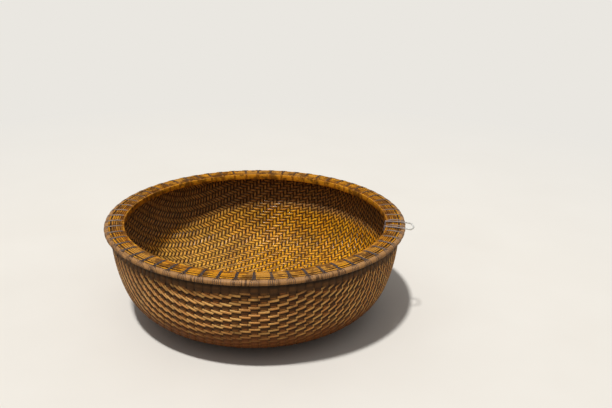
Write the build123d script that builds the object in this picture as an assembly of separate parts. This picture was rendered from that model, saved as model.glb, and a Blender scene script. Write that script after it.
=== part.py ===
from build123d import *
from math import atan, atan2, cos, degrees, hypot, radians, sin
import os

# Round basket boat, in millimetres, +Z up. The origin is the middle of the bottom, on the
# ground that the boat stands on. The oar loop is near the +X side.

# Overall size
boat_diameter = 2000.0  # over the outer hoop
boat_height = 655.0  # from the ground to the top of the rim

# Hull: a bowl of woven split bamboo. It has a flat, settled bottom, and then three arcs
# that run into each other. Angles are the wall's slope where an arc ends.
hull_wall = 8.0
bottom_arc_radius = 700.0
bottom_arc_slope = 25.0
bilge_radius = 330.0
bilge_slope = 70.0
collar_below_rim = 18.0  # the wall is upright from this far below the rim's underside
hull_edge_drop = 6.0  # the trimmed edge lies this far below the rim's top

# Rim: the hull's edge is clamped between hoops and splints that stand side by side
rim_gap = 0.6  # between neighbours in the rim
outer_hoop_width = 26.0
outer_splint_width = 12.0
inner_splint_width = 13.0
inner_hoop_width = 12.0
outer_hoop_height = 32.0
inner_hoop_height = 38.0
splint_foot_drop = 44.0  # every splint's foot lies this far below the rim's top
hoop_edge_ease = 2.5  # worn inside edges of the inner hoop
hoop_flats = 6  # pared flats across the outer hoop's half-round face

# Each hoop and splint is one split length bent round, and closed by a scarf
scarf_slope_length = 8.0  # length of the slanted cut for each unit of width
scarf_gap = 0.8

# Splints from the hull's edge inwards: how far the top lies below the rim's top, and
# the place of the scarf, in degrees round the boat
inner_splints = [
    # name, top_drop, scarf_angle
    ("inner_splint_1", 1.0, 24.0),
    ("inner_splint_2", 0.0, 150.0),
    ("inner_splint_3", 0.0, 294.0),
    ("inner_splint_4", 1.5, 78.0),
    ("inner_splint_5", 3.0, 216.0),
]
outer_hoop_drop = 7.0
outer_hoop_scarf = 222.0
outer_splint_drop = 2.0
outer_splint_scarf = 36.0
inner_hoop_drop = 6.0
inner_hoop_scarf = 132.0

# Lashings: closed bands of line round the whole rim, through slots in the weave
lashing_count = 60
first_lashing_angle = 3.0
lashing_width = 13.0
lashing_thickness = 2.0
lashing_seat = 0.4  # between a lashing and the bamboo that it holds
slot_clearance = 1.0

# Oar loop: a rope through the weave, round the rim, out and back, with a knot at each end
rope_diameter = 10.5
rope_sides = 8
rope_seat = 0.4
rope_bend_radius = 5.4
rope_fall = 8.0  # the rope runs down by this much from the rim's inside to its hole
loop_after_lashing = 57  # the first leg lies midway to the next lashing
loop_reach = 60.0  # beyond the outer hoop
loop_bend_radius = 44.0
loop_droop = 8.0
knot_diameter = 18.0
knot_length = 16.0
hole_clearance = 0.6

# Radii and levels that follow from the sizes above
rim_outer_radius = boat_diameter / 2
outer_hoop_inner = rim_outer_radius - outer_hoop_width
outer_splint_outer = outer_hoop_inner - rim_gap
hull_radius = outer_splint_outer - outer_splint_width - rim_gap
hull_inner_radius = hull_radius - hull_wall
splint_step = inner_splint_width + rim_gap
inner_hoop_outer = hull_inner_radius - rim_gap - len(inner_splints) * splint_step
rim_inner_radius = inner_hoop_outer - inner_hoop_width
splint_foot = boat_height - splint_foot_drop
outer_hoop_top = boat_height - outer_hoop_drop
outer_hoop_foot = outer_hoop_top - outer_hoop_height
inner_hoop_top = boat_height - inner_hoop_drop
inner_hoop_foot = inner_hoop_top - inner_hoop_height
rim_underside = min(splint_foot, outer_hoop_foot, inner_hoop_foot)
collar_foot = rim_underside - collar_below_rim
lashing_pitch = 360.0 / lashing_count


def hull_arcs():
    """Centre and radius of each outer arc, from the bottom up, with its two slopes.
    The wall's arc takes the height that is left, and the flat bottom the width."""
    a, b = radians(bottom_arc_slope), radians(bilge_slope)
    rise = collar_foot - bottom_arc_radius * (1 - cos(a)) - bilge_radius * (cos(a) - cos(b))
    wall_radius = rise / cos(b)
    spread = bottom_arc_radius * sin(a) + bilge_radius * (sin(b) - sin(a)) + wall_radius * (1 - sin(b))
    x, z = hull_radius - spread, 0.0
    arcs = []
    for radius, start, end in (
        (bottom_arc_radius, 0.0, a),
        (bilge_radius, a, b),
        (wall_radius, b, radians(90)),
    ):
        centre = (x - radius * sin(start), z + radius * cos(start))
        arcs.append((centre, radius, start, end))
        x = centre[0] + radius * sin(end)
        z = centre[1] - radius * cos(end)
    return arcs


def arc_point(centre, radius, slope):
    return (centre[0] + radius * sin(slope), centre[1] - radius * cos(slope))


def hull_edges(inset):
    """The bowl's line at a distance inside the outer face, from the middle to the edge."""
    edges = []
    arcs = hull_arcs()
    first = arc_point(arcs[0][0], arcs[0][1] - inset, 0.0)
    edges.append(Line((0, inset), first))
    for centre, radius, start, end in arcs:
        points = [arc_point(centre, radius - inset, s) for s in (start, (start + end) / 2, end)]
        edges.append(ThreePointArc(*points))
    edges.append(Line((hull_radius - inset, collar_foot), (hull_radius - inset, boat_height - hull_edge_drop)))
    return edges


def revolved(lines):
    """A closed outline in radius and height, turned once round the boat's axis."""
    face = Plane.XZ * make_face(lines)
    return revolve(face, Axis.Z, 360)


def woven_hull():
    outer, inner = hull_edges(0.0), hull_edges(hull_wall)
    top = Line(outer[-1] @ 1, inner[-1] @ 1)
    middle = Line((0, 0), (0, hull_wall))
    hull = revolved(outer + inner + [top, middle])
    slot = lashing_slot()
    cuts = [Rot(0, 0, angle) * slot for angle in lashing_angles()]
    for angle in loop_angles():
        cuts.append(Rot(0, 0, angle) * rope_hole())
    return hull - cuts


def scarfed(ring, inner_radius, width, angle):
    """Parts a ring along a slanted cut across its width, so that its ends overlap."""
    length = width * scarf_slope_length
    cut = Box(scarf_gap, 1.6 * length, 4 * splint_foot_drop)
    tilt = degrees(atan(width / length))
    place = Rot(0, 0, angle) * Pos(inner_radius + width / 2, 0, boat_height) * Rot(0, 0, tilt)
    return ring - place * cut


def splint(inner_radius, width, foot, top, angle):
    outline = Polyline(
        (inner_radius, foot),
        (inner_radius + width, foot),
        (inner_radius + width, top),
        (inner_radius, top),
        close=True,
    )
    return scarfed(revolved([outline]), inner_radius, width, angle)


def half_round():
    """The outer hoop's round face from its foot up, as the corners of its flats."""
    half = outer_hoop_height / 2
    centre = (rim_outer_radius - half, outer_hoop_foot + half)
    return [arc_point(centre, half, radians(180 * i / hoop_flats)) for i in range(hoop_flats + 1)]


def outer_hoop():
    """Half of a split culm: flat against the splint, round on the outside."""
    outline = Polyline(
        (outer_hoop_inner, outer_hoop_foot),
        *half_round(),
        (outer_hoop_inner, outer_hoop_top),
        close=True,
    )
    return scarfed(revolved([outline]), outer_hoop_inner, outer_hoop_width, outer_hoop_scarf)


def inner_hoop():
    """A flat band with its skin to the inside and both inside edges eased."""
    ease = hoop_edge_ease
    outline = Polyline(
        (inner_hoop_outer, inner_hoop_foot),
        (inner_hoop_outer, inner_hoop_top),
        (rim_inner_radius + ease, inner_hoop_top),
        (rim_inner_radius, inner_hoop_top - ease),
        (rim_inner_radius, inner_hoop_foot + ease),
        (rim_inner_radius + ease, inner_hoop_foot),
        close=True,
    )
    return scarfed(revolved([outline]), rim_inner_radius, inner_hoop_width, inner_hoop_scarf)


def rim_corners():
    """The outer corners of the rim's section, in radius and height."""
    corners = half_round()
    corners += [(outer_splint_outer, splint_foot), (outer_splint_outer, boat_height - outer_splint_drop)]
    for i, (name, top_drop, angle) in enumerate(inner_splints):
        outer = hull_inner_radius - rim_gap - i * splint_step
        for radius in (outer, outer - inner_splint_width):
            corners += [(radius, boat_height - top_drop), (radius, splint_foot)]
    inside, eased = rim_inner_radius, rim_inner_radius + hoop_edge_ease
    for radius, ease in ((inside, hoop_edge_ease), (eased, 0), (inner_hoop_outer, 0)):
        corners += [(radius, inner_hoop_top - ease), (radius, inner_hoop_foot + ease)]
    return corners


def taut_outline():
    """The line that a tight string takes round the rim's section: its convex outline."""
    def side(points):
        line = []
        for p in points:
            while len(line) > 1 and turn(line[-2], line[-1], p) <= 1e-6:
                line.pop()
            line.append(p)
        return line[:-1]

    def turn(a, b, c):
        return (b[0] - a[0]) * (c[1] - a[1]) - (b[1] - a[1]) * (c[0] - a[0])

    points = sorted(rim_corners())
    return make_face(Polyline(*side(points), *side(points[::-1]), close=True))


def band(inner_offset, outer_offset, width):
    """A closed band round the rim, between two distances outside its taut outline."""
    outline = taut_outline()
    outer = offset(outline, outer_offset, kind=Kind.INTERSECTION)
    inner = offset(outline, inner_offset, kind=Kind.INTERSECTION)
    return extrude(Plane.XZ * (outer - inner), width / 2, both=True)


def lashing():
    return band(lashing_seat, lashing_seat + lashing_thickness, lashing_width)


def lashing_slot():
    """The room that one lashing takes in the hull, with the slot's clearance all round."""
    room = band(
        lashing_seat - slot_clearance,
        lashing_seat + lashing_thickness + slot_clearance,
        lashing_width + 2 * slot_clearance,
    )
    near_wall = Box(2 * hull_wall, 2 * lashing_width, 2 * splint_foot_drop)
    return room & (Pos(hull_radius - hull_wall / 2, 0, collar_foot) * near_wall)


def lashing_angles():
    return [first_lashing_angle + i * lashing_pitch for i in range(lashing_count)]


def rim_lashings():
    one = lashing()
    return Compound(children=[Rot(0, 0, angle) * one for angle in lashing_angles()])


def loop_angles():
    """The two legs of the oar loop, each midway between two lashings."""
    start = first_lashing_angle + (loop_after_lashing + 0.5) * lashing_pitch
    return (start, start + lashing_pitch)


def leg_points():
    """One leg in radius and height, from the knot outside to the outer hoop."""
    off = rope_diameter / 2 + rope_seat
    inside = rim_inner_radius - off
    low = rim_underside - off
    return [
        (hull_radius, low - rope_fall),
        (inside, low),
        (inside, boat_height + off),
        (outer_hoop_inner, boat_height + off),
    ]


def rope_slope():
    outer, inner = leg_points()[:2]
    return degrees(atan2(inner[1] - outer[1], outer[0] - inner[0]))


def rope_hole():
    """A round hole along the rope's run through the wall, in the plane of radius and height."""
    outer = leg_points()[0]
    hole = Cylinder(rope_diameter / 2 + hole_clearance, 6 * hull_wall)
    return Pos(outer[0], 0, outer[1]) * Rot(0, 90 + rope_slope(), 0) * hole


def oar_loop():
    def place(angle, radius, level):
        return (radius * cos(radians(angle)), radius * sin(radians(angle)), level)

    first, second = loop_angles()
    tip_radius = rim_outer_radius + loop_reach - rope_diameter / 2
    tip_level = boat_height + rope_diameter / 2 - loop_droop
    points = [place(first, *p) for p in leg_points()]
    points += [place(first, tip_radius, tip_level), place(second, tip_radius, tip_level)]
    points += [place(second, *p) for p in reversed(leg_points())]
    bend, wide, soft = rope_bend_radius, loop_bend_radius, 4 * rope_diameter
    path = FilletPolyline(*points, radius=[bend, bend, soft, wide, wide, soft, bend, bend])
    section = Plane(origin=path @ 0, z_dir=path % 0) * RegularPolygon(rope_diameter / 2, rope_sides)
    return sweep(section, path=path)


def loop_knots():
    """A stopper knot on each end of the rope, pulled up against the hull's outside."""
    radius, neck = knot_diameter / 2, rope_diameter / 2
    shoulder = (radius + neck) / 2
    outline = Polyline(
        (0, 0),
        (neck, 0),
        (shoulder, knot_length / 8),
        (radius, knot_length / 3),
        (radius, knot_length * 2 / 3),
        (shoulder, knot_length * 7 / 8),
        (neck, knot_length),
        (0, knot_length),
        close=True,
    )
    knot = revolved([outline])
    outer = leg_points()[0]
    seat = rope_seat + radius * sin(radians(rope_slope()))
    placed = Pos(outer[0] + seat, 0, outer[1]) * Rot(0, 90 + rope_slope(), 0) * knot
    return Compound(children=[Rot(0, 0, angle) * placed for angle in loop_angles()])


def main():
    os.makedirs("parts", exist_ok=True)
    nodes = {
        "woven_hull": woven_hull(),
        "outer_hoop": outer_hoop(),
        "outer_splint": splint(
            outer_splint_outer - outer_splint_width,
            outer_splint_width,
            splint_foot,
            boat_height - outer_splint_drop,
            outer_splint_scarf,
        ),
        "inner_hoop": inner_hoop(),
        "rim_lashings": rim_lashings(),
        "oar_loop": oar_loop(),
        "loop_knots": loop_knots(),
    }
    for i, (name, top_drop, angle) in enumerate(inner_splints):
        inner_radius = hull_inner_radius - (i + 1) * splint_step
        nodes[name] = splint(
            inner_radius, inner_splint_width, splint_foot, boat_height - top_drop, angle
        )
    for name, shape in nodes.items():
        export_step(shape, f"parts/{name}.step")
        print(name, len(shape.solids()), round(shape.volume))


main()
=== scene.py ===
import bmesh
import bpy
import math
import numpy as np
from mathutils import Matrix, Vector


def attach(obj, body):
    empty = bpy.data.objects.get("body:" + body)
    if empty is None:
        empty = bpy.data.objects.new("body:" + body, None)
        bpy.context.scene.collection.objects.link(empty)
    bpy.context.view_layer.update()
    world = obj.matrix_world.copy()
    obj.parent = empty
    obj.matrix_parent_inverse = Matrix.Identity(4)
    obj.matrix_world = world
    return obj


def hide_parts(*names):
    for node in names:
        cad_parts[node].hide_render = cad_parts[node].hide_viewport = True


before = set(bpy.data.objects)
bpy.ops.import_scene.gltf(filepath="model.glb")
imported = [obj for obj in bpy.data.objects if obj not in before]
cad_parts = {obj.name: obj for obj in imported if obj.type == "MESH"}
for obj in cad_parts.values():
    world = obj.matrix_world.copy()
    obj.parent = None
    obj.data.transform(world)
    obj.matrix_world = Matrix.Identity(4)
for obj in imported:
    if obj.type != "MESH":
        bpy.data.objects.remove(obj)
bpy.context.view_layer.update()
print("frame loaded")

scene = bpy.context.scene
scene.view_settings.view_transform = "Standard"


def srgb(r, g, b):
    def straight(c):
        c = c / 255
        return c / 12.92 if c <= 0.04045 else ((c + 0.055) / 1.055) ** 2.4
    return (straight(r), straight(g), straight(b), 1.0)


def linked(name, data):
    item = bpy.data.objects.new(name, data)
    scene.collection.objects.link(item)
    return item


# camera
view = {
    "place": (0.333, -4.788, 2.538),
    "pitchDown": 20.6,
    "roll": 1.0,
    "focalPixels": 762.0,
    "imageWidth": 612.0,
    "sensorWidth": 36.0,
}


def addCamera():
    data = bpy.data.cameras.new("photoCamera")
    data.sensor_width = view["sensorWidth"]
    data.lens = view["focalPixels"] / view["imageWidth"] * view["sensorWidth"]
    camera = linked("photoCamera", data)
    pitch = Matrix.Rotation(math.radians(90 - view["pitchDown"]), 4, "X")
    roll = Matrix.Rotation(math.radians(view["roll"]), 4, "Z")
    camera.matrix_world = Matrix.Translation(view["place"]) @ (pitch @ roll)
    scene.camera = camera


addCamera()
print("camera placed")


# small helpers for node trees
def isSocket(value):
    return isinstance(value, bpy.types.NodeSocket)


def feed(socket, value):
    # another socket is linked, a plain value is set
    if isSocket(value):
        socket.id_data.links.new(value, socket)
    else:
        socket.default_value = value


def addNode(tree, kind, inputs=None, **settings):
    node = tree.nodes.new(kind)
    for key, value in settings.items():
        setattr(node, key, value)
    for key, value in (inputs or {}).items():
        feed(node.inputs[key], value)
    return node


def treeOf(values):
    return next(value.id_data for value in values if isSocket(value))


def following(kind, inputs, **settings):
    # a node in the tree that its inputs come from
    return addNode(treeOf(inputs.values()), kind, inputs, **settings)


def made(kind, inputs, **settings):
    return following(kind, inputs, **settings).outputs[0]


def calc(operation, a, b=0.0, c=0.0, clamp=False):
    return made("ShaderNodeMath", {0: a, 1: b, 2: c}, operation=operation, use_clamp=clamp)


def plus(a, b):
    return calc("ADD", a, b)


def minus(a, b):
    return calc("SUBTRACT", a, b)


def times(a, b):
    return calc("MULTIPLY", a, b)


def over(a, b):
    return calc("DIVIDE", a, b)


def sizeOf(a):
    return calc("ABSOLUTE", a)


def larger(a, b):
    return calc("MAXIMUM", a, b)


def mixColor(factor, a, b, blend="MIX"):
    node = addNode(treeOf((factor, a, b)), "ShaderNodeMix", data_type="RGBA", blend_type=blend)
    for name, value in (("Factor_Float", factor), ("A_Color", a), ("B_Color", b)):
        feed(next(s for s in node.inputs if s.identifier == name), value)
    return next(s for s in node.outputs if s.identifier == "Result_Color")


def spread(value, low, high, first=0.0, last=1.0, **settings):
    ends = {"From Min": low, "From Max": high, "To Min": first, "To Max": last}
    return made("ShaderNodeMapRange", {"Value": value, **ends}, **settings)


def parts(vector):
    return following("ShaderNodeSeparateXYZ", {0: vector}).outputs


def vectorOf(x, y=0.0, z=0.0):
    return made("ShaderNodeCombineXYZ", {0: x, 1: y, 2: z})


def lengthOf(vector):
    return following("ShaderNodeVectorMath", {0: vector}, operation="LENGTH").outputs["Value"]


def radiusOf(place):
    return lengthOf(made("ShaderNodeVectorMath", {0: place, 1: (1.0, 1.0, 0.0)}, operation="MULTIPLY"))


def noiseAt(vector, detail, scale=1.0, roughness=0.5):
    inputs = {"Vector": vector, "Scale": scale, "Detail": detail, "Roughness": roughness}
    return made("ShaderNodeTexNoise", inputs)


def placeOf(tree):
    return addNode(tree, "ShaderNodeTexCoord").outputs["Object"]


def attributeOf(tree, label, output="Fac"):
    return addNode(tree, "ShaderNodeAttribute", attribute_name=label).outputs[output]


def newTree(name, kind, ins, outs):
    tree = bpy.data.node_groups.new(name, kind)
    for way, sockets in (("INPUT", ins), ("OUTPUT", outs)):
        for label, socketKind in sockets.items():
            tree.interface.new_socket(label, in_out=way, socket_type="NodeSocket" + socketKind)
    return tree, addNode(tree, "NodeGroupInput").outputs, addNode(tree, "NodeGroupOutput").inputs


# shared effects
bambooLook = {
    "pieceSeed": 7.31, "floatSeed": 3.7,
    "fibresAlong": 9.0, "fibresAcross": 900.0, "patchesAlong": 5.0, "patchesAcross": 80.0,
    "middleShade": 0.35, "pieceShade": 0.55,  # of the whole strip, and how far it varies from piece to piece
    "jointShift": 5.0, "ringRange": (0.0018, 0.0045, 1.0, 0.0), "haloRange": (0.004, 0.03, 0.35, 0.0),
    "ringStain": 0.75, "glossLoss": 0.25, "fibreHeight": 0.35, "ringHeight": 0.9,
}


def makeBambooGroup():
    f = bambooLook
    group, given, result = newTree("splitBamboo", "ShaderNodeTree", {
        "Lay": "Vector", "Pale": "Color", "Deep": "Color", "Stain": "Color",
        "Fibre": "Float", "Patch": "Float", "Joint Step": "Float",
    }, {"Color": "Color", "Gloss Loss": "Float", "Height": "Float"})
    along, across, piece = parts(given["Lay"])
    seed = times(piece, f["pieceSeed"])
    fibreAt = vectorOf(times(along, f["fibresAlong"]), times(across, f["fibresAcross"]), seed)
    patchAt = vectorOf(times(along, f["patchesAlong"]), times(across, f["patchesAcross"]), seed)
    fibre = noiseAt(fibreAt, 3.0, roughness=0.6)
    patch = noiseAt(patchAt, 2.0, roughness=0.55)
    tone = made("ShaderNodeTexWhiteNoise", {"W": seed}, noise_dimensions="1D")
    fibrePart = calc("MULTIPLY_ADD", minus(fibre, 0.5), given["Fibre"], f["middleShade"])
    patchPart = times(minus(patch, 0.5), given["Patch"])
    tonePart = times(minus(tone, 0.5), f["pieceShade"])
    shade = calc("ADD", plus(fibrePart, patchPart), tonePart, clamp=True)
    color = mixColor(shade, given["Pale"], given["Deep"])
    # the ring at each joint of the culm
    cycle = calc("FRACT", plus(over(along, given["Joint Step"]), times(tone, f["jointShift"])))
    fromJoint = times(sizeOf(minus(cycle, 0.5)), given["Joint Step"])
    ring = spread(fromJoint, *f["ringRange"])
    halo = spread(fromJoint, *f["haloRange"])
    feed(result["Color"], mixColor(larger(times(ring, f["ringStain"]), halo), color, given["Stain"]))
    feed(result["Gloss Loss"], times(fibre, f["glossLoss"]))
    feed(result["Height"], plus(times(fibre, f["fibreHeight"]), times(ring, f["ringHeight"])))
    return group


def makeGrimeGroup():
    group, given, result = newTree("grimePatches", "ShaderNodeTree", {
        "Scale": "Float", "Amount": "Float", "Softness": "Float"}, {"Mask": "Float"})
    broad = noiseAt(placeOf(group), 5.0, given["Scale"], 0.62)
    edge = minus(1.0, given["Amount"])
    low, high = minus(edge, given["Softness"]), plus(edge, given["Softness"])
    feed(result["Mask"], spread(broad, low, high, interpolation_type="SMOOTHSTEP"))
    return group


bambooGroup = makeBambooGroup()
grimeGroup = makeGrimeGroup()


def bambooOf(lay, f):
    return following("ShaderNodeGroup", {
        "Lay": lay, "Pale": f["pale"], "Deep": f["deep"], "Stain": f["stainAndShade"],
        "Fibre": f["fibre"], "Patch": f["patch"], "Joint Step": f["jointStep"],
    }, node_tree=bambooGroup).outputs


def grimeOf(tree, scale, amount, softness):
    inputs = {"Scale": scale, "Amount": amount, "Softness": softness}
    return addNode(tree, "ShaderNodeGroup", inputs, node_tree=grimeGroup).outputs["Mask"]


def floatTone(lay, perMetre, low, high, most):
    # each float has weathered its own way
    along, across, piece = parts(lay)
    wearAndSheen = noiseAt(vectorOf(times(along, perMetre), times(piece, bambooLook["floatSeed"])), 1.0)
    return spread(wearAndSheen, low, high, 0.0, most)


def startMaterial(name):
    material = bpy.data.materials.new(name)
    material.use_nodes = True
    tree = material.node_tree
    return material, tree, tree.nodes["Principled BSDF"]


# the stain colour serves both for real stains and for painted shade
def stainedAndShaded(color, f, share):
    return mixColor(share, color, f["stainAndShade"])


def grimed(tree, color, f):
    return stainedAndShaded(color, f, times(grimeOf(tree, *f["grime"]), f["grimeShare"]))


def tinted(color, f, name, value):
    return mixColor(spread(value, *f[name + "Range"]), color, f[name + "Color"])


def finishMaterial(shader, f, color, height, glossLoss=None):
    strength, distance = f["bump"]
    feed(shader.inputs["Base Color"], color)
    feed(shader.inputs["Roughness"], f["rough"] if glossLoss is None else plus(glossLoss, f["rough"]))
    feed(shader.inputs["Normal"], made("ShaderNodeBump", {
        "Height": height, "Strength": strength, "Distance": distance}))
    shader.inputs["Specular IOR Level"].default_value = f["specular"]


# finishes
# a range is a measure's two ends and the share at each, and a grime is its scale, amount and softness
insideFinish = {
    "pale": srgb(255, 184, 34), "deep": srgb(212, 124, 2), "stainAndShade": srgb(52, 27, 11),
    "fibre": 0.9, "patch": 0.8, "jointStep": 0.33,
    "grime": (4.0, 0.44, 0.12), "grimeShare": 0.35,
    "wearAndSheenColor": srgb(242, 192, 106), "wearAndSheenRange": (0.05, -0.5, 0.0, 0.38),
    "paintedWallShadeColor": srgb(150, 116, 84), "paintedWallShadeRange": (0.34, 0.41, 0.0, 0.74),
    "paintedWallShadeDropRange": (-0.85, -0.15, 0.12, 0.0),
    "diveShadeRange": (-0.5, 0.4, 0.0, 0.9), "edgeShadeRange": (0.0056, 0.0094, 0.0, 0.9),
    "endShadeRange": (0.3, 1.0, 0.0, 0.62), "floatTone": (17.0, 0.42, 0.75, 0.5),
    "rough": 0.35, "specular": 0.18, "coat": 0.12, "coatRough": 0.16, "bump": (0.5, 0.0008),
}
outsideFinish = {
    "stainAndShade": srgb(50, 28, 10), "fibre": 1.2, "patch": 1.0, "jointStep": 0.37,
    "grime": (6.0, 0.40, 0.12), "grimeShare": 0.25,
    "paintedLitSideColor": srgb(255, 214, 166), "paintedLitSideRange": (-0.55, -0.95, 0.0, 0.55),
    "shadowBelowFrom": (0.1, 0.45), "redTint": srgb(232, 188, 164),
    "redTone": (13.0, 0.4, 0.6, 0.5), "floatTone": (8.0, 0.4, 0.75, 0.35),
    "brushScale": 9.0, "brushWaver": 0.12,
    "coatColor": srgb(106, 56, 12), "coatRange": (0.20, 0.28, 0.75, 0.0),
    "underRimShadeColor": srgb(84, 58, 34), "underRimShadeRange": (0.530, 0.556, 0.0, 0.8),
    "hoopDirtAndShadowColor": srgb(24, 14, 8), "hoopDirtAndShadowRange": (0.576, 0.592, 0.0, 0.8),
    "hoopDirtAndShadowEnd": (0.625, 0.640, 1.0, 0.0),
    "rough": 0.5, "specular": 0.25, "bump": (0.5, 0.0008),
}
crossFinish = {
    **outsideFinish, "pale": srgb(255, 204, 126), "deep": srgb(255, 190, 112),
    "diveShadeRange": (0.6, -0.6, 0.0, 0.9), "edgeShadeRange": (0.0062, 0.0090, 0.0, 0.35),
    "shadowBelowRange": (1.0, 1.8, 0.0, 0.0), "shadedLowerSideRange": (0.0, -0.0085, 0.0, 0.5),
}
# the uprights are the crossing strips' bamboo painted darker: painted shade, as they lie sunk under the
# crossing strips
shadedUprightFinish = {
    **outsideFinish, "pale": srgb(178, 122, 62), "deep": srgb(124, 84, 40),
    "diveShadeRange": (0.6, -0.6, 0.0, 0.7), "edgeShadeRange": (0.0110, 0.0222, 0.0, 0.8),
    "shadowBelowRange": (1.0, 1.8, 0.95, 0.0), "shadedLowerSideRange": (0.0, -0.0085, 0.0, 0.0),
}
caulkFinish = {
    "pale": srgb(66, 40, 24), "deep": srgb(40, 24, 18), "grime": (60.0, 0.5, 0.2),
    "rough": 0.8, "specular": 0.5, "bump": (0.4, 0.001),
}
rimFinish = {
    "fibre": 1.7, "patch": 1.6, "jointStep": 0.41,
    "grimeShare": 0.7, "bareColor": srgb(196, 142, 66), "bare": (2.6, 0.46, 0.06), "bareShare": 0.6,
    "darkerSidesColor": srgb(100, 56, 16), "darkerSidesRange": (0.62, 0.9, 0.0, 0.38),
    "sunkShadeShare": 0.85, "rough": 0.38, "specular": 0.14, "bump": (0.6, 0.0012),
}
oldSplintFinish = {
    **rimFinish, "pale": srgb(218, 146, 28), "deep": srgb(148, 78, 8), "stainAndShade": srgb(54, 26, 14),
    "grime": (15.0, 0.49, 0.06),
}
newSplintFinish = {
    **rimFinish, "pale": srgb(244, 172, 34), "deep": srgb(186, 108, 8), "stainAndShade": srgb(62, 30, 14),
    "grime": (15.0, 0.46, 0.06),
}
innerHoopFinish = {
    **rimFinish, "pale": srgb(232, 162, 38), "deep": srgb(166, 96, 12), "stainAndShade": srgb(50, 26, 12),
    "grime": (15.0, 0.48, 0.06), "bareColor": srgb(214, 140, 30), "rough": 0.36,
}
outerHoopFinish = {
    "pale": srgb(180, 134, 84), "deep": srgb(132, 92, 52), "stainAndShade": srgb(74, 46, 24),
    "fibre": 1.0, "patch": 1.2, "jointStep": 0.47,
    "runColor": srgb(50, 30, 18), "runShare": 0.85, "runsAlong": 95.0, "runsUp": 9.0, "bunchesAlong": 7.0,
    "runRange": (0.50, 0.60), "lowerRange": (0.644, 0.622, -0.03, 0.05), "bunchRange": (0.42, 0.56, 0.2, 1.0),
    "rough": 0.42, "specular": 0.25, "bump": (0.5, 0.001),
}
lineFinish = {
    "pale": srgb(100, 86, 80), "deep": srgb(58, 46, 43), "toneRange": (0.35, 0.65),
    "along": 60.0, "turnSeed": 5.7,
    "sideColor": srgb(146, 120, 98), "sideRange": (0.72, 0.95, 0.0, 0.75),
    "backColor": srgb(104, 70, 38), "backRange": (0.0, 0.5, 0.0, 0.8),
    "varnishColor": srgb(168, 106, 20), "varnishRange": (0.883, 0.893, 0.85, 0.0),
    "rough": 0.38, "specular": 0.2, "bump": (0.3, 0.0004),
}
ropeFinish = {
    "pale": srgb(232, 232, 226), "deep": srgb(186, 184, 178), "toneRange": (0.3, 0.7),
    "yarnAlong": 120.0, "yarnSlant": 900.0, "yarnAcross": 500.0,
    "varnishColor": srgb(126, 108, 104), "varnishRange": (0.985, 1.01, 0.8, 0.0),
    "rough": 0.75, "specular": 0.5, "bump": (0.5, 0.0005),
}
twillPeriod = 4  # steps in one repeat of the inside's pattern


def makeInsideMaterial():
    f = insideFinish
    material, tree, shader = startMaterial("insideBamboo")
    lay = attributeOf(tree, "lay", "Vector")
    x, y, z = parts(placeOf(tree))
    bamboo = bambooOf(lay, f)
    color = grimed(tree, bamboo["Color"], f)
    # painted sheen: the left of the bottom is painted paler, in place of the sky's sheen on the varnish
    color = tinted(color, f, "wearAndSheen", x)
    # painted shade: the rim's shadow on the wall under the rim, painted lower down on the left
    color = tinted(color, f, "paintedWallShade", plus(z, spread(x, *f["paintedWallShadeDropRange"])))
    # painted shade where a strip dives under its neighbour and along its edges
    low = spread(attributeOf(tree, "lift"), *f["diveShadeRange"])
    edge = spread(sizeOf(parts(lay)[1]), *f["edgeShadeRange"])
    color = stainedAndShaded(color, f, larger(low, edge))
    # and painted shade toward both ends of each float, where it dives
    turn = calc("FRACT", over(minus(attributeOf(tree, "step"), 0.5), twillPeriod))
    fromMiddle = times(sizeOf(minus(turn, 0.5)), twillPeriod)
    color = stainedAndShaded(color, f, spread(fromMiddle, *f["endShadeRange"]))
    color = stainedAndShaded(color, f, floatTone(lay, *f["floatTone"]))
    finishMaterial(shader, f, color, bamboo["Height"], bamboo["Gloss Loss"])
    shader.inputs["Coat Weight"].default_value = f["coat"]
    shader.inputs["Coat Roughness"].default_value = f["coatRough"]
    return material


def makeOutsideMaterial(name, f):
    material, tree, shader = startMaterial(name)
    lay = attributeOf(tree, "lay", "Vector")
    place = placeOf(tree)
    x, y, z = parts(place)
    bamboo = bambooOf(lay, f)
    # painted light: the left side, toward the sun, is painted paler
    color = tinted(bamboo["Color"], f, "paintedLitSide", x)
    color = grimed(tree, color, f)
    across = parts(lay)[1]
    low = spread(attributeOf(tree, "lift"), *f["diveShadeRange"])
    edge = spread(sizeOf(across), *f["edgeShadeRange"])
    # painted shadow just under each crossing strip, and painted shade where a strip dives and along its edges
    step = attributeOf(tree, "step")
    below = times(spread(step, *f["shadowBelowFrom"]), spread(step, *f["shadowBelowRange"]))
    color = stainedAndShaded(color, f, larger(larger(low, edge), below))
    # and painted shade along the lower side of each crossing strip
    color = stainedAndShaded(color, f, spread(times(across, calc("SIGN", y)), *f["shadedLowerSideRange"]))
    redder = mixColor(1.0, color, f["redTint"], "MULTIPLY")
    color = mixColor(floatTone(lay, *f["redTone"]), color, redder)
    color = stainedAndShaded(color, f, floatTone(lay, *f["floatTone"]))
    # brushed coat over the lower hull, worn thin along its upper edge, and painted shade from the rim on the
    # band under it
    brushed = plus(z, times(minus(noiseAt(place, 4.0, f["brushScale"]), 0.5), f["brushWaver"]))
    color = tinted(color, f, "coat", brushed)
    color = tinted(color, f, "underRimShade", brushed)
    # right under the hoop: dirt, and a painted shadow in the narrow gap under it
    dirtAndShadow = times(spread(z, *f["hoopDirtAndShadowRange"]), spread(z, *f["hoopDirtAndShadowEnd"]))
    color = mixColor(dirtAndShadow, color, f["hoopDirtAndShadowColor"])
    finishMaterial(shader, f, color, bamboo["Height"], bamboo["Gloss Loss"])
    return material


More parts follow.
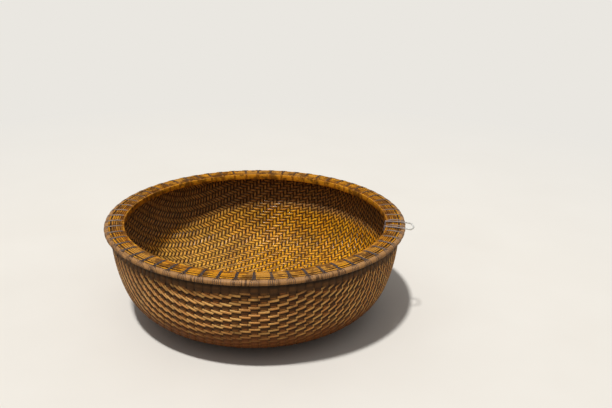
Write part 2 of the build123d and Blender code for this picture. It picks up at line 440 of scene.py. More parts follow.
def makeCaulkMaterial():
    f = caulkFinish
    material, tree, shader = startMaterial("darkCaulk")
    mask = grimeOf(tree, *f["grime"])
    finishMaterial(shader, f, mixColor(mask, f["pale"], f["deep"]), mask)
    return material


def makeRimMaterial(name, f):
    material, tree, shader = startMaterial(name)
    bamboo = bambooOf(attributeOf(tree, "lay", "Vector"), f)
    color = mixColor(times(grimeOf(tree, *f["bare"]), f["bareShare"]), bamboo["Color"], f["bareColor"])
    color = grimed(tree, color, f)
    # the rim is darker toward its two sides
    color = tinted(color, f, "darkerSides", sizeOf(parts(placeOf(tree))[0]))
    # painted shade down each splint's sides below its top
    color = stainedAndShaded(color, f, times(attributeOf(tree, "sunk"), f["sunkShadeShare"]))
    finishMaterial(shader, f, color, bamboo["Height"], bamboo["Gloss Loss"])
    return material


def makeOuterHoopMaterial():
    f = outerHoopFinish
    material, tree, shader = startMaterial("bareHoop")
    lay = attributeOf(tree, "lay", "Vector")
    bamboo = bambooOf(lay, f)
    # runs of varnish and dirty water down the round face
    along, level = parts(lay)[0], parts(placeOf(tree))[2]
    runs = noiseAt(vectorOf(times(along, f["runsAlong"]), times(level, f["runsUp"])), 2.0)
    bunches = noiseAt(vectorOf(times(along, f["bunchesAlong"])), 1.0)
    run = spread(plus(runs, spread(level, *f["lowerRange"])), *f["runRange"])
    mask = times(run, spread(bunches, *f["bunchRange"]))
    color = mixColor(times(mask, f["runShare"]), bamboo["Color"], f["runColor"])
    finishMaterial(shader, f, color, bamboo["Height"], bamboo["Gloss Loss"])
    return material


def makeLineMaterial():
    f = lineFinish
    material, tree, shader = startMaterial("nylonLine")
    along, across, turn = parts(attributeOf(tree, "lay", "Vector"))
    noise = noiseAt(vectorOf(times(along, f["along"]), times(turn, f["turnSeed"])), 3.0)
    color = mixColor(spread(noise, *f["toneRange"]), f["pale"], f["deep"])
    # painted glint: paler at the boat's two sides, where the nylon catches the light; browner at the back
    place = placeOf(tree)
    x, y, z = parts(place)
    color = tinted(color, f, "side", sizeOf(x))
    color = tinted(color, f, "back", y)
    # the varnish inside the boat covers the line as well
    color = tinted(color, f, "varnish", radiusOf(place))
    finishMaterial(shader, f, color, noise)
    return material


def makeRopeMaterial():
    f = ropeFinish
    material, tree, shader = startMaterial("paleRope")
    along, around, strand = parts(attributeOf(tree, "lay", "Vector"))
    slanted = plus(times(along, f["yarnAlong"]), times(around, f["yarnSlant"]))
    yarns = noiseAt(vectorOf(slanted, times(around, f["yarnAcross"]), strand), 3.0)
    color = mixColor(spread(yarns, *f["toneRange"]), f["pale"], f["deep"])
    # varnish has run into it where it lies on the rim
    color = tinted(color, f, "varnish", radiusOf(placeOf(tree)))
    finishMaterial(shader, f, color, yarns)
    return material


insideMaterial = makeInsideMaterial()
crossMaterial = makeOutsideMaterial("outsideBamboo", crossFinish)
shadedUprightMaterial = makeOutsideMaterial("shadedUprightBamboo", shadedUprightFinish)
caulkMaterial = makeCaulkMaterial()
rimMaterial = makeRimMaterial("varnishedSplint", oldSplintFinish)
brightRimMaterial = makeRimMaterial("newerSplint", newSplintFinish)
innerHoopMaterial = makeRimMaterial("varnishedHoop", innerHoopFinish)
outerHoopMaterial = makeOuterHoopMaterial()
lineMaterial = makeLineMaterial()
ropeMaterial = makeRopeMaterial()
print("finishes made")


# small helpers for meshes
def meshObject(name, points, faces=(), edges=(), attributes=None):
    mesh = bpy.data.meshes.new(name)
    mesh.from_pydata([tuple(p) for p in points], [tuple(e) for e in edges], [tuple(f) for f in faces])
    for label, values in (attributes or {}).items():
        values = np.asarray(values, np.float32)
        kind, key = ("FLOAT_VECTOR", "vector") if values.ndim == 2 else ("FLOAT", "value")
        mesh.attributes.new(label, kind, "POINT").data.foreach_set(key, values.ravel())
    mesh.update()
    return linked(name, mesh)


def shadeSmooth(piece, sharpAngle=None):
    piece.data.polygons.foreach_set("use_smooth", [True] * len(piece.data.polygons))
    if sharpAngle:
        piece.data.set_sharp_from_angle(angle=math.radians(sharpAngle))


def growWith(piece, tree, values):
    # runs the node tree on the piece and keeps the mesh that it makes
    modifier = piece.modifiers.new("grow", "NODES")
    modifier.node_group = tree
    for item in tree.interface.items_tree:
        if item.item_type == "SOCKET" and item.in_out == "INPUT" and item.name in values:
            modifier[item.identifier] = values[item.name]
    graph = bpy.context.evaluated_depsgraph_get()
    result = bpy.data.meshes.new_from_object(
        piece.evaluated_get(graph), preserve_all_data_layers=True, depsgraph=graph)
    piece.modifiers.remove(modifier)
    old = piece.data
    piece.data = result
    result.name = piece.name
    bpy.data.meshes.remove(old)


def named(tree, label, kind="FLOAT"):
    return addNode(tree, "GeometryNodeInputNamedAttribute", {"Name": label}, data_type=kind).outputs[0]


def stored(geometry, label, value, kind="FLOAT", domain="POINT"):
    inputs = {"Geometry": geometry, "Name": label, "Value": value}
    return made("GeometryNodeStoreNamedAttribute", inputs, data_type=kind, domain=domain)


def measured(curve):
    return stored(curve, "along", addNode(curve.id_data, "GeometryNodeSplineParameter").outputs["Length"])


def randomValue(low, high, number, seed):
    node = following("FunctionNodeRandomValue", {"ID": number, "Seed": seed}, data_type="FLOAT")
    ends = [s for s in node.inputs if s.type == "VALUE" and s.enabled]
    feed(ends[0], low)
    feed(ends[1], high)
    return next(s for s in node.outputs if s.enabled)


def ringCurve(tree, radius):
    inputs = {"Radius": radius, "Resolution": 6}
    return addNode(tree, "GeometryNodeCurvePrimitiveCircle", inputs, mode="RADIUS").outputs["Curve"]


def finishSweep(mesh, lay, finish, result):
    laid = stored(mesh, "lay", lay, "FLOAT_VECTOR")
    smooth = made("GeometryNodeSetShadeSmooth", {"Geometry": laid, "Shade Smooth": True})
    real = made("GeometryNodeRealizeInstances", {"Geometry": smooth})
    feed(result["Geometry"], made("GeometryNodeSetMaterial", {"Geometry": real, "Material": finish}))


def settle(piece, slotName, *nodes):
    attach(piece, "root")
    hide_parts(*nodes)


# the hull's shape, as the frame has it
hull = {
    "bottomArc": 0.700, "bottomSlope": 25.0,
    "bilgeArc": 0.330, "bilgeSlope": 70.0,
    "outsideRadius": 0.9608, "collarFoot": 0.593, "edge": 0.649,
    "stepsPerArc": 90, "runOn": 0.2,  # upright past the edge, where the strips are cut off
    "netBeyond": 0.1,  # how far past the edge a mat is draped
    "normalStep": 0.004, "trim": 0.0004,
}


def hullLine(inset):
    h = hull
    a, b = math.radians(h["bottomSlope"]), math.radians(h["bilgeSlope"])
    rise = h["collarFoot"] - h["bottomArc"] * (1 - math.cos(a)) - h["bilgeArc"] * (math.cos(a) - math.cos(b))
    wallArc = rise / math.cos(b)
    arcs = ((h["bottomArc"], 0.0, a), (h["bilgeArc"], a, b), (wallArc, b, math.pi / 2))
    width = h["bottomArc"] * math.sin(a) + h["bilgeArc"] * (math.sin(b) - math.sin(a))
    width += wallArc * (1 - math.sin(b))
    x, z = h["outsideRadius"] - width, 0.0
    line = [(0.0, inset)]
    for radius, start, end in arcs:
        cx, cz = x - radius * math.sin(start), z + radius * math.cos(start)
        for slope in np.linspace(start, end, h["stepsPerArc"]):
            line.append((cx + (radius - inset) * math.sin(slope), cz - (radius - inset) * math.cos(slope)))
        x, z = cx + radius * math.sin(end), cz - radius * math.cos(end)
    line.append((h["outsideRadius"] - inset, h["edge"]))
    line.append((h["outsideRadius"] - inset, h["edge"] + h["runOn"]))
    line = np.array(line)
    line = line[np.r_[True, np.hypot(*np.diff(line, axis=0).T) > 1e-7]]
    run = np.r_[0.0, np.cumsum(np.hypot(*np.diff(line, axis=0).T))]
    return line, run


def alongHull(far, line, run):
    return np.interp(far, run, line[:, 0]), np.interp(far, run, line[:, 1])


def onHull(flat, line, run):
    far = np.hypot(flat[..., 0], flat[..., 1])
    safe = np.maximum(far, 1e-9)
    radius, level = alongHull(far, line, run)
    return np.stack([radius * flat[..., 0] / safe, radius * flat[..., 1] / safe, level], -1)


def hullNormal(flat, line, run):
    far = np.hypot(flat[..., 0], flat[..., 1])
    safe = np.maximum(far, 1e-9)
    inner = alongHull(np.maximum(far - hull["normalStep"], 0), line, run)
    outer = alongHull(np.minimum(far + hull["normalStep"], run[-2] + hull["netBeyond"]), line, run)
    dr, dz = outer[0] - inner[0], outer[1] - inner[1]
    size = np.hypot(dr, dz)
    return np.stack([dz / size * flat[..., 0] / safe, dz / size * flat[..., 1] / safe, -dr / size], -1)


# woven hull: two flat mats of strips, one inside the other, each pressed into the bowl
insideMat = {
    "depth": 0.0056,  # of the mat's middle below the hull's outer face
    "pitchAcross": 0.0270, "pitchAlong": 0.0216,
    "widthAcross": 0.0188, "widthAlong": 0.0232,  # of the strips that run left and right, then of the others
    "thickness": 0.0022, "relief": 0.0013, "matAngle": -2.0, "every": 1, "unevenness": 0.075,
}
outsideMat = {
    "depth": 0.0026,
    "pitchAcross": 0.0183, "pitchAlong": 0.0183,
    "widthAcross": 0.0168, "widthAlong": 0.0450,
    "thickness": 0.0018, "relief": 0.0016, "matAngle": 3.0, "unevenness": 0.06,
    "every": 3,  # an upright at every third step
    "bandFoot": 0.552, "bandEase": 0.006,  # above this only the uprights run on, up into the rim
    "bandWiden": 0.22,
    "coatTop": 0.17, "coatFade": 0.09,  # the coat fills the weave below this
    "coatFill": 0.6, "coatLevel": 0.6,
}
# shift and swing are shares of a mat's unevenness, and drift is in radians to a step
handLay = {"shift": 0.7, "swing": 0.3, "drift": (0.1, 0.35), "seeds": (41, 42)}
# roomShare is of the sine of the angle at a crossing, which narrows a strip where the mat is sheared
stripWidth = {"variation": 0.05, "seed": 11, "roomShare": 1.02}


def drapedNet(shape, stepAcross, stepAlong, countAcross, countAlong):
    # every crossing lies one step from its two neighbours, measured over the bowl
    net = np.full((countAcross + 1, countAlong + 1, 2), np.nan)
    net[:, 0] = np.stack([np.arange(countAcross + 1) * stepAcross, np.zeros(countAcross + 1)], -1)
    net[0, :] = np.stack([np.zeros(countAlong + 1), np.arange(countAlong + 1) * stepAlong], -1)
    limit = shape[1][-2] + hull["netBeyond"]
    tiny, tries = 1e-6, 12
    for total in range(2, countAcross + countAlong + 1):
        i = np.arange(max(1, total - countAlong), min(countAcross, total - 1) + 1)
        j = total - i
        a, b, c = net[i - 1, j], net[i, j - 1], net[i - 1, j - 1]
        guess = a + b - c
        pa, pb = onHull(a, *shape), onHull(b, *shape)

        def miss(x):
            q = onHull(x, *shape)
            return np.stack([
                ((q - pa) ** 2).sum(-1) - stepAcross ** 2, ((q - pb) ** 2).sum(-1) - stepAlong ** 2], -1)

        for _ in range(tries):
            f = miss(guess)
            fx = (miss(guess + [tiny, 0]) - f) / tiny
            fy = (miss(guess + [0, tiny]) - f) / tiny
            det = fx[..., 0] * fy[..., 1] - fx[..., 1] * fy[..., 0]
            step = np.stack([
                (f[..., 0] * fy[..., 1] - f[..., 1] * fy[..., 0]) / det,
                (f[..., 1] * fx[..., 0] - f[..., 0] * fx[..., 1]) / det], -1)
            guess = guess - np.clip(step, -stepAcross, stepAcross)
        far = np.hypot(guess[..., 0], guess[..., 1])
        guess[~(np.abs(miss(guess)).max(-1) < 1e-7) | (far > limit)] = np.nan
        net[i, j] = guess
    return net


def handLaid(strip, along, most, seed):
    # how far each strip lies to one side of its even place, drifting a little along its length
    rng = np.random.default_rng(seed)
    count = strip.max() - strip.min() + 1
    share = rng.uniform(-handLay["shift"], handLay["shift"], count)
    phase = rng.uniform(0, 2 * math.pi, count)
    drift = rng.uniform(*handLay["drift"], count)
    k = strip - strip.min()
    return most * (share[k] + handLay["swing"] * np.sin(along * drift[k] + phase[k]))


def fullNet(mat, shape):
    # the net's four quarters, turned to the mat's angle, with the room between the strips at each crossing
    edge = shape[1][-2]
    m, n = int(edge / mat["pitchAcross"]) + 3, int(edge / mat["pitchAlong"]) + 3
    quarter = drapedNet(shape, mat["pitchAcross"], mat["pitchAlong"], m, n)
    u = onHull(np.roll(quarter, -1, 0), *shape) - onHull(quarter, *shape)
    v = onHull(np.roll(quarter, -1, 1), *shape) - onHull(quarter, *shape)
    area = np.linalg.norm(np.cross(u, v), axis=-1)
    sine = area / np.maximum(np.linalg.norm(u, axis=-1) * np.linalg.norm(v, axis=-1), 1e-12)
    sine[-1], sine[:, -1] = sine[-2], sine[:, -2]
    i, j = np.meshgrid(np.arange(-m, m + 1), np.arange(-n, n + 1), indexing="ij")
    net = quarter[np.abs(i), np.abs(j)] * np.stack([np.sign(i) + (i == 0), np.sign(j) + (j == 0)], -1)
    acrossSeed, alongSeed = handLay["seeds"]
    net = net + np.stack([
        handLaid(i, j, mat["unevenness"] * mat["pitchAcross"], acrossSeed),
        handLaid(j, i, mat["unevenness"] * mat["pitchAlong"], alongSeed)], -1)
    turn = math.radians(mat["matAngle"])
    turned = net @ np.array([[math.cos(turn), math.sin(turn)], [-math.sin(turn), math.cos(turn)]])
    return turned, np.where(np.isfinite(sine), sine, 1.0)[np.abs(i), np.abs(j)], m, n


def stripPath(net, room, row, stops, edge):
    # a strip's line at the given stops, cut off at the hull's edge
    low = np.clip(np.floor(stops).astype(int), 0, len(net) - 2)
    share = (stops - low)[:, None]
    places = net[low, row] * (1 - share) + net[low + 1, row] * share
    far = np.hypot(places[:, 0], places[:, 1])
    good = np.isfinite(far) & (far < edge)
    if good.sum() < 4:
        return None
    first, last = np.argmax(good), len(good) - 1 - np.argmax(good[::-1])
    if not good[first:last + 1].all():
        return None
    line = [(places[k], stops[k], k) for k in range(first, last + 1)]
    for end, beyond in ((first, first - 1), (last, last + 1)):
        if 0 <= beyond < len(stops) and np.isfinite(far[beyond]):
            part = (edge - far[end]) / (far[beyond] - far[end])
            cut = places[end] + (places[beyond] - places[end]) * part
            line.append((cut, stops[end] + (stops[beyond] - stops[end]) * part, end))
    line.sort(key=lambda entry: entry[1])
    places, reached, nearest = zip(*line)
    squeeze = room[np.round(stops[list(nearest)]).astype(int), row]
    return np.array(places), np.array(reached), squeeze


def stopsAlong(offsets, period, shift, reach):
    first = math.ceil(-reach / period) - 2
    repeats = range(first, -first + 1)
    stops = np.concatenate([np.array(offsets) + k * period + shift % period for k in repeats])
    return np.sort(stops[(stops > -reach + 0.01) & (stops < reach - 0.01)])


def twillLift(phase):
    # over two, under two
    steepness = 1.4142
    return np.clip(steepness * np.sin(math.pi / 2 * phase + math.pi / 4), -1, 1)


def smoothLift(phase, period, half, ease):
    # +1 within `half` of the middle of each period, -1 elsewhere
    away = np.abs((phase + period / 2) % period - period / 2)
    return np.clip((half - away) / ease, -1, 1)


def belowCross(phase, places):
    # steps down the wall from the middle of the crossing strip above
    down = -np.sign(np.gradient(np.hypot(places[:, 0], places[:, 1])))
    return (phase * down + 1.0) % 3 - 1.0


# a family's strips share one pattern, and shift says where it starts on each strip
twill = {
    "finish": insideMaterial, "period": twillPeriod, "offsets": (0.0, 1.0, 1.5, 2.0, 3.0, 3.5),
    "lift": twillLift, "step": lambda phase, places: phase,
}
insideFamilies = [
    {**twill, "name": "insideAcross", "runsAcross": True, "number": 0.3, "shift": lambda s: s},
    {**twill, "name": "insideAlong", "runsAcross": False, "number": 1.7, "shift": lambda s: s + 1},
]
# narrow strips over one broad upright and under the next two
outsideFamilies = [
    {
        "name": "outsideAcross", "runsAcross": True, "number": 3.1, "finish": crossMaterial,
        "period": 9, "offsets": (-2.5, -1.7, -1.0, 0.0, 1.0, 1.7, 2.5, 3.5, 4.5, 5.5),
        "shift": lambda s: -3 * s,
        "lift": lambda phase: smoothLift(phase, 9, 2.25, 1.0), "step": lambda phase, places: 0 * phase,
    },
    {
        "name": "outsideUpright", "runsAcross": False, "number": 4.9, "finish": shadedUprightMaterial,
        "period": 3, "offsets": (-0.9, -0.5, 0.0, 0.5, 0.95, 1.4), "shift": lambda s: -(s // 3),
        "lift": lambda phase: -smoothLift(phase, 3, 0.5, 0.3), "step": belowCross,
    },
]


def weaveTree():
    tree, given, result = newTree("wovenStrips", "GeometryNodeTree", {
        "Geometry": "Geometry", "Relief": "Float", "Width": "Float", "Thickness": "Float",
        "Family": "Float", "Width Variation": "Float", "Seed": "Int", "Finish": "Material",
    }, {"Geometry": "Geometry"})
    strip, facing = named(tree, "strip"), named(tree, "facing", "FLOAT_VECTOR")
    lines = made("GeometryNodeMeshToCurve", {"Mesh": given["Geometry"]})
    lift = times(named(tree, "lift"), given["Relief"])
    shift = made("ShaderNodeVectorMath", {0: facing, "Scale": lift}, operation="SCALE")
    moved = made("GeometryNodeSetPosition", {"Geometry": lines, "Offset": shift})
    turned = made("GeometryNodeSetCurveNormal", {"Curve": moved, "Normal": facing}, mode="FREE")
    # a split's section: a hexagon, which has a low crown on both faces
    cornerReach = 0.5774  # a hexagon's radius over its width
    across = vectorOf(times(given["Thickness"], 0.5), times(given["Width"], cornerReach), 1.0)
    outline = made("GeometryNodeTransform", {"Geometry": ringCurve(tree, 1.0), "Scale": across})
    position = addNode(tree, "GeometryNodeInputPosition").outputs["Position"]
    section = stored(outline, "section", position, "FLOAT_VECTOR")
    narrowest = minus(1.0, given["Width Variation"])
    width = times(named(tree, "squeeze"), randomValue(narrowest, 1.0, strip, given["Seed"]))
    swept = made("GeometryNodeCurveToMesh", {
        "Curve": measured(turned), "Profile Curve": section, "Scale": width, "Fill Caps": True})
    number = plus(strip, times(given["Family"], 100.0))
    lay = vectorOf(named(tree, "along"), parts(named(tree, "section", "FLOAT_VECTOR"))[1], number)
    finishSweep(swept, lay, given["Finish"], result)
    return tree


def inBand(mat, level):
    return np.clip((level - mat["bandFoot"]) / mat["bandEase"], 0, 1)


def levelled(mat, lift, level, runsAcross):
    # no crossings in the band under the rim, and shallow ones where the coat fills them
    if "bandFoot" not in mat:
        return lift
    flat = -1.0 if runsAcross else 1.0
    band = inBand(mat, level)
    full = np.clip((level - mat["coatTop"]) / mat["coatFade"], 0, 1) * mat["coatFill"] + (1 - mat["coatFill"])
    return (lift * full + flat * (1 - full) * mat["coatLevel"]) * (1 - band) + flat * band


def trimAtEdge(piece):
    # a slanting strip's corner would stand above the hull's edge
    mesh = bmesh.new()
    mesh.from_mesh(piece.data)
    cut = bmesh.ops.bisect_plane(
        mesh, geom=mesh.verts[:] + mesh.edges[:] + mesh.faces[:],
        plane_co=(0, 0, hull["edge"] - hull["trim"]), plane_no=(0, 0, 1), clear_outer=True)
    rims = [e for e in cut["geom_cut"] if isinstance(e, bmesh.types.BMEdge) and e.is_boundary]
    bmesh.ops.holes_fill(mesh, edges=rims, sides=0)
    mesh.to_mesh(piece.data)
    mesh.free()


def addFamily(family, tree, mat, shape, netParts):
    net, room, m, n = netParts
    runsAcross = family["runsAcross"]
    if not runsAcross:
        net, room, m, n = net.transpose(1, 0, 2), room.T, n, m
    every = 1 if runsAcross else mat["every"]
    strips = [s for s in range(-n, n + 1) if s % every == 0]
    for half, chosen in (("A", [s for s in strips if s < 0]), ("B", [s for s in strips if s >= 0])):
        points, edges = [], []
        layers = {"strip": [], "lift": [], "step": [], "facing": [], "squeeze": []}
        for s in chosen:
            shift = family["shift"](s)
            stops = stopsAlong(family["offsets"], family["period"], shift, m)
            found = stripPath(net, room, s + n, stops + m, shape[1][-2])
            if found is None:
                continue
            places, reached, tight = found
            start = len(points)
            real = onHull(places, *shape)
            phase = reached - m - shift
            wider = 1 + mat["bandWiden"] * inBand(mat, real[:, 2]) if "bandFoot" in mat else 1
            points += list(real)
            edges += [(start + k, start + k + 1) for k in range(len(places) - 1)]
            layers["strip"] += [s] * len(places)
            layers["lift"] += list(levelled(mat, family["lift"](phase), real[:, 2], runsAcross))
            layers["step"] += list(family["step"](phase, places))
            layers["facing"] += list(hullNormal(places, *shape))
            layers["squeeze"] += list(np.minimum(1.0, tight * stripWidth["roomShare"]) * wider)
        piece = meshObject(family["name"] + half, points, edges=edges, attributes=layers)
        growWith(piece, tree, {
            "Relief": mat["relief"], "Width": mat["widthAcross" if runsAcross else "widthAlong"],
            "Thickness": mat["thickness"], "Family": family["number"],
            "Width Variation": stripWidth["variation"], "Seed": stripWidth["seed"],
            "Finish": family["finish"]})
        trimAtEdge(piece)
        settle(piece, "hull_bamboo", "woven_hull")
        print(piece.name, len(piece.data.polygons))


def addWeave():
    tree = weaveTree()
    for mat, families in ((insideMat, insideFamilies), (outsideMat, outsideFamilies)):
        shape = hullLine(mat["depth"])
        netParts = fullNet(mat, shape)
        for family in families:
            addFamily(family, tree, mat, shape, netParts)


caulk = {
    "depth": 0.0041, "thickness": 0.0022, "belowEdge": 0.004,
    "around": 168, "rings": 45, "unevenness": 0.00005, "seed": 5,
}


def addCaulk():
    n = caulk["around"]
    # rings along the outer face from the bottom to the edge, then back along the inner face
    rings, poles = [], []
    for side in (-1, 1):
        line, run = hullLine(caulk["depth"] + side * caulk["thickness"] / 2)
        share = np.linspace(0, 1, caulk["rings"] + 1)[1:]
        rings += list(zip(*alongHull(share * (run[-2] - caulk["belowEdge"]), line, run)))[::-side]
        poles.append((0, 0, line[0, 1]))
    rng = np.random.default_rng(caulk["seed"])
    angles = [2 * math.pi * k / n for k in range(n)]
    points = [poles[0]]
    for r, z in rings:
        reach = r + rng.uniform(-1, 1, n) * caulk["unevenness"]
        points += [(reach[k] * math.cos(angles[k]), reach[k] * math.sin(angles[k]), z) for k in range(n)]
    points.append(poles[1])
    last = 1 + (len(rings) - 1) * n
    faces = []
    for k in range(n):
        beside = (k + 1) % n
        faces.append((0, 1 + beside, 1 + k))
        for m in range(len(rings) - 1):
            a, b = 1 + m * n + k, 1 + m * n + beside
            faces.append((a, b, b + n, a + n))
        faces.append((last + k, last + beside, len(points) - 1))
    piece = meshObject("hullCaulk", points, faces)
    shadeSmooth(piece)
    piece.data.materials.append(caulkMaterial)
    settle(piece, "hull_bamboo", "woven_hull")


addCaulk()
addWeave()
print("hull woven")


# rim: hoops and splints, each one split length bent round and closed by a scarf
rim = {
    "sectionsRound": 420, "sharpAngle": 40,
    "scarfSlope": 8.0, "scarfGap": 0.0009, "scarfReach": 0.35,
    "waveHeight": 0.0011, "waveSide": 0.0003, "wavesUp": (5, 38), "wavesSide": (4, 24), "waveFade": 0.6,
    "jointStep": 0.41, "jointLength": 0.006, "jointSwell": 0.0008, "jointSideShare": 0.35, "jointTop": 0.0006,
    "shadeTop": 0.0004, "shadeDepth": 0.0028,  # below its top a splint's side is painted dark, as painted shade between its neighbours
    "splintInset": 0.0004, "splintWear": 0.0034,
    "hoopWear": 0.0028, "hoopBevel": 0.0012, "hoopCorner": 0.0025,
}
# a ring's size is its inner radius, outer radius, foot and top
outerHoop = (0.974, 1.000, 0.616, 0.648)
innerHoop = (0.8722, 0.8842, 0.611, 0.649)
# name, node, size, scarf angle, finish
splints = [
    ("outerSplint", "outer_splint", (0.9614, 0.9734, 0.611, 0.653), 36.0, brightRimMaterial),
    ("innerSplintOne", "inner_splint_1", (0.9392, 0.9522, 0.611, 0.654), 24.0, brightRimMaterial),
    ("innerSplintTwo", "inner_splint_2", (0.9256, 0.9386, 0.611, 0.655), 150.0, rimMaterial),
    ("innerSplintThree", "inner_splint_3", (0.9120, 0.9250, 0.611, 0.655), 294.0, brightRimMaterial),
    ("innerSplintFour", "inner_splint_4", (0.8984, 0.9114, 0.611, 0.6535), 78.0, rimMaterial),
    ("innerSplintFive", "inner_splint_5", (0.8848, 0.8978, 0.611, 0.652), 216.0, rimMaterial),
]


def splintSection(inner, outer, foot, top):
    # anticlockwise in radius and height, the top edges worn round
    inner, outer = inner + rim["splintInset"], outer - rim["splintInset"]
    e = rim["splintWear"]
    return [
        (inner, foot), (outer, foot), (outer, (foot + top) / 2), (outer, top - e),
        (outer - 0.3 * e, top - 0.3 * e), (outer - e, top - 0.05 * e),
        ((inner + outer) / 2, top), (inner + e, top - 0.05 * e),
        (inner + 0.3 * e, top - 0.3 * e), (inner, top - e), (inner, (foot + top) / 2)]


def halfRound(outer, foot, top, count):
    half = (top - foot) / 2
    turns = np.linspace(0.0, math.pi, count)
    return [(outer - half + half * math.sin(a), foot + half - half * math.cos(a)) for a in turns]


def outerHoopSection(inner, outer, foot, top):
    return [(inner, foot)] + halfRound(outer, foot, top, 13) + [(inner, top), (inner, (foot + top) / 2)]


def innerHoopSection(inner, outer, foot, top):
    e, bevel = rim["hoopWear"], rim["hoopBevel"]
    return [
        (inner + e, foot), (outer, foot), (outer, (foot + top) / 2), (outer, top - bevel),
        (outer - bevel, top), (inner + e, top),
        (inner + 0.3 * e, top - 0.3 * e), (inner, top - e), (inner, (foot + top) / 2),
        (inner, foot + e), (inner + 0.3 * e, foot + 0.3 * e)]


def addRing(name, section, scarfAngle, seed, finish, wave=1.0, hidden=1.0):
    rng = np.random.default_rng(seed)
    n = rim["sectionsRound"]
    section = np.array(section)
    middle = section[:, 0].mean()
    top, foot = section[:, 1].max(), section[:, 1].min()
    slant = rim["scarfSlope"] * (section[:, 0] - middle) / middle
    opening = rim["scarfGap"] * rim["scarfSlope"] / middle
    turn = np.linspace(0, 2 * math.pi - opening, n)

    def gentle(waves, size):
        total = np.zeros(n)
        for k in range(*waves):
            total += rng.normal() * np.sin(k * turn + rng.uniform(0, 7)) / k ** rim["waveFade"]
        return total / max(1e-9, np.abs(total).max()) * size

    halfWave = 0.5 * rim["waveHeight"] * wave
    lift = gentle(rim["wavesUp"], halfWave) - halfWave
    sway = gentle(rim["wavesSide"], rim["waveSide"] * wave)
    around = np.r_[0, np.cumsum(np.hypot(*np.diff(np.r_[section, section[:1]], axis=0).T))]
    joints = (turn * middle / rim["jointStep"] + rng.uniform(0, 1)) % 1.0
    nearJoint = np.exp(-((joints - 0.5) * rim["jointStep"] / rim["jointLength"]) ** 2)
    share = (section[:, 1] - foot) / (top - foot)
    swell = rim["jointSwell"] * rim["jointSideShare"] * np.sign(section[:, 0] - middle) * share
    points, lay, sunk = [], [], []
    for k in range(n):
        toStart, toEnd = turn[k] / rim["scarfReach"], (turn[-1] - turn[k]) / rim["scarfReach"]
        radius = section[:, 0] + sway[k] + nearJoint[k] * swell
        level = section[:, 1] + lift[k] * share ** 3 + nearJoint[k] * rim["jointTop"] * (share > 0.9)
        angle = math.radians(scarfAngle) + turn[k] + slant * (max(0.0, 1 - toStart) + max(0.0, 1 - toEnd))
        points += list(np.stack([radius * np.cos(angle), radius * np.sin(angle), np.minimum(level, top)], -1))
        lay += [(turn[k] * middle, a, seed) for a in around[:-1]]
        sunk += list(np.clip((top - rim["shadeTop"] - level) / rim["shadeDepth"], 0, 1) * hidden)
    m = len(section)
    faces = []
    for k in range(n - 1):
        for s in range(m):
            a, b = k * m + s, k * m + (s + 1) % m
            faces.append((a, a + m, b + m, b))
    faces.append(tuple(range(m)))
    faces.append(tuple(range(n * m - 1, (n - 1) * m - 1, -1)))
    piece = meshObject(name, points, faces, attributes={"lay": lay, "sunk": sunk})
    shadeSmooth(piece, rim["sharpAngle"])
    piece.data.materials.append(finish)
    return piece


def addRim():
    for place, (name, node, size, scarf, finish) in enumerate(splints):
        piece = addRing(name, splintSection(*size), scarf, 20 + place, finish)
        settle(piece, "rim_bamboo", node)
    section = outerHoopSection(*outerHoop)
    piece = addRing("outerHoop", section, 222.0, 31, outerHoopMaterial, wave=0.0, hidden=0.0)
    settle(piece, "outer_hoop_bamboo", "outer_hoop")
    section = innerHoopSection(*innerHoop)
    piece = addRing("innerHoop", section, 132.0, 32, innerHoopMaterial, wave=0.6, hidden=0.0)
    settle(piece, "inner_hoop_bamboo", "inner_hoop")


addRim()
print("rim built")


# lashings: turns of line round the whole rim
lashings = {
    "count": 60, "firstAngle": 3.0,
    "turns": 5, "lineDiameter": 0.0030, "turnPitch": 0.0034,
    "seat": 0.0003,  # from the rim's outline to the middle of the line, which is pulled tight into the bamboo
    "jitter": 0.0004, "seed": 4,
    "fan": 3.2, "fanFrom": 0.970, "fanTo": 0.994,  # times wider apart the turns lie round the outer hoop
    "rimMiddle": 0.93, "bendStep": 0.55,
}


def rimOutline():
    corners = halfRound(*outerHoop[1:], 9)
    for inner, outer, foot, top in (splint[2] for splint in splints):
        corners += [(inner, foot), (outer, foot), (inner, top), (outer, top)]
    inner, outer, foot, top = innerHoop
    e = rim["hoopCorner"]
    corners += [(inner, foot + e), (inner + e, foot), (outer, foot)]
    corners += [(inner, top - e), (inner + e, top), (outer, top)]
    points = sorted(set((round(r, 5), round(z, 5)) for r, z in corners))

    def turnsRight(a, b, c):
        return (b[0] - a[0]) * (c[1] - a[1]) - (b[1] - a[1]) * (c[0] - a[0]) <= 1e-9

    def side(ordered):
        line = []
        for p in ordered:
            while len(line) > 1 and turnsRight(line[-2], line[-1], p):
                line.pop()
            line.append(p)
        return line[:-1]

    return np.array(side(points) + side(points[::-1]))


def roundedOutline(corners, away):
    # the line's middle stays at one distance from the outline, turning round each corner
    path = []
    for k, here in enumerate(corners):
        into, out = here - corners[k - 1], corners[(k + 1) % len(corners)] - here
        first, last = math.atan2(-into[0], into[1]), math.atan2(-out[0], out[1])
        while last < first:
            last += 2 * math.pi
        steps = max(1, int((last - first) / lashings["bendStep"]) + 1)
        for turn in np.linspace(first, last, steps + 1) if steps > 1 else [(first + last) / 2]:
            path.append(here + away * np.array([math.cos(turn), math.sin(turn)]))
    return np.array(path)


